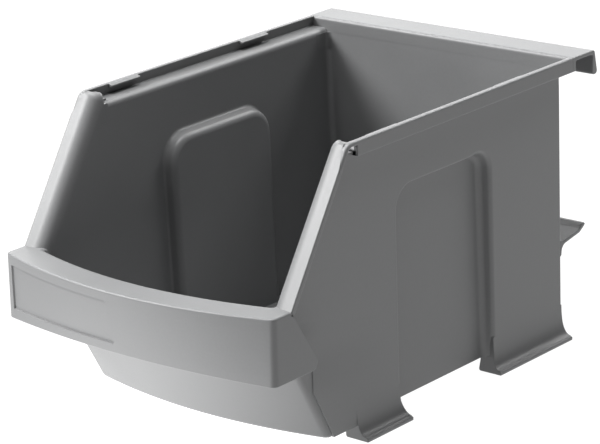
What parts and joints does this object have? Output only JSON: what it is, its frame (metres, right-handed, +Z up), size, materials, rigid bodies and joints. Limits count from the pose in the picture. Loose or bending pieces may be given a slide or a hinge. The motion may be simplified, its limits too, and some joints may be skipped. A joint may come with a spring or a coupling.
{
  "type": "stackable storage bin",
  "caption": "Small open-front plastic storage bin that stacks on flared feet and hangs on a slotted wall panel by its rear hook, with a label lip in front.",
  "frame": {"origin": "middle of the bin's bounding box in X and Y, on the surface that the feet stand on", "axes": "+Z up, -Y towards the open front with the label lip, +Y towards the rear hook, +X to the right as seen from the front"},
  "size_m": [0.143, 0.222, 0.125],
  "materials": {
    "back_wall": "satin, fine moulded grain",
    "flange_left": "satin, fine moulded grain",
    "flange_right": "satin, fine moulded grain",
    "floor_pan": "satin, fine moulded grain",
    "foot_front_left": "satin, fine moulded grain",
    "foot_front_right": "satin, fine moulded grain",
    "foot_rear_left": "satin, fine moulded grain",
    "foot_rear_right": "satin, fine moulded grain",
    "front_wall": "satin, fine moulded grain",
    "hook_lip": "satin, fine moulded grain",
    "hook_plate": "satin, fine moulded grain",
    "label_cheek_left": "satin, fine moulded grain",
    "label_cheek_right": "satin, fine moulded grain",
    "label_face": "satin, fine moulded grain",
    "label_top": "satin, fine moulded grain",
    "recess_left": "satin, fine moulded grain",
    "recess_right": "satin, fine moulded grain",
    "rim_end_left": "satin, fine moulded grain",
    "rim_end_right": "satin, fine moulded grain",
    "rim_ledge_left": "satin, fine moulded grain",
    "rim_ledge_right": "satin, fine moulded grain",
    "rim_lip_left": "satin, fine moulded grain",
    "rim_lip_right": "satin, fine moulded grain",
    "side_wall_left": "satin, fine moulded grain",
    "side_wall_right": "satin, fine moulded grain",
    "tab_left_front": "satin, fine moulded grain",
    "tab_left_rear": "satin, fine moulded grain",
    "tab_right_front": "satin, fine moulded grain",
    "tab_right_rear": "satin, fine moulded grain",
    "wall_catch": "satin, fine moulded grain"
  },
  "bodies": {
    "root": {"back_wall": "back_wall", "flange_left": "flange_left", "flange_right": "flange_right", "floor_pan": "floor_pan", "foot_front_left": "foot_front_left", "foot_front_right": "foot_front_right", "foot_rear_left": "foot_rear_left", "foot_rear_right": "foot_rear_right", "front_wall": "front_wall", "hook_lip": "hook_lip", "hook_plate": "hook_plate", "label_cheek_left": "label_cheek_left", "label_cheek_right": "label_cheek_right", "label_face": "label_face", "label_top": "label_top", "recess_left": "recess_left", "recess_right": "recess_right", "rim_end_left": "rim_end_left", "rim_end_right": "rim_end_right", "rim_ledge_left": "rim_ledge_left", "rim_ledge_right": "rim_ledge_right", "rim_lip_left": "rim_lip_left", "rim_lip_right": "rim_lip_right", "side_wall_left": "side_wall_left", "side_wall_right": "side_wall_right", "tab_left_front": "tab_left_front", "tab_left_rear": "tab_left_rear", "tab_right_front": "tab_right_front", "tab_right_rear": "tab_right_rear", "wall_catch": "wall_catch"}
  },
  "joints": []
}
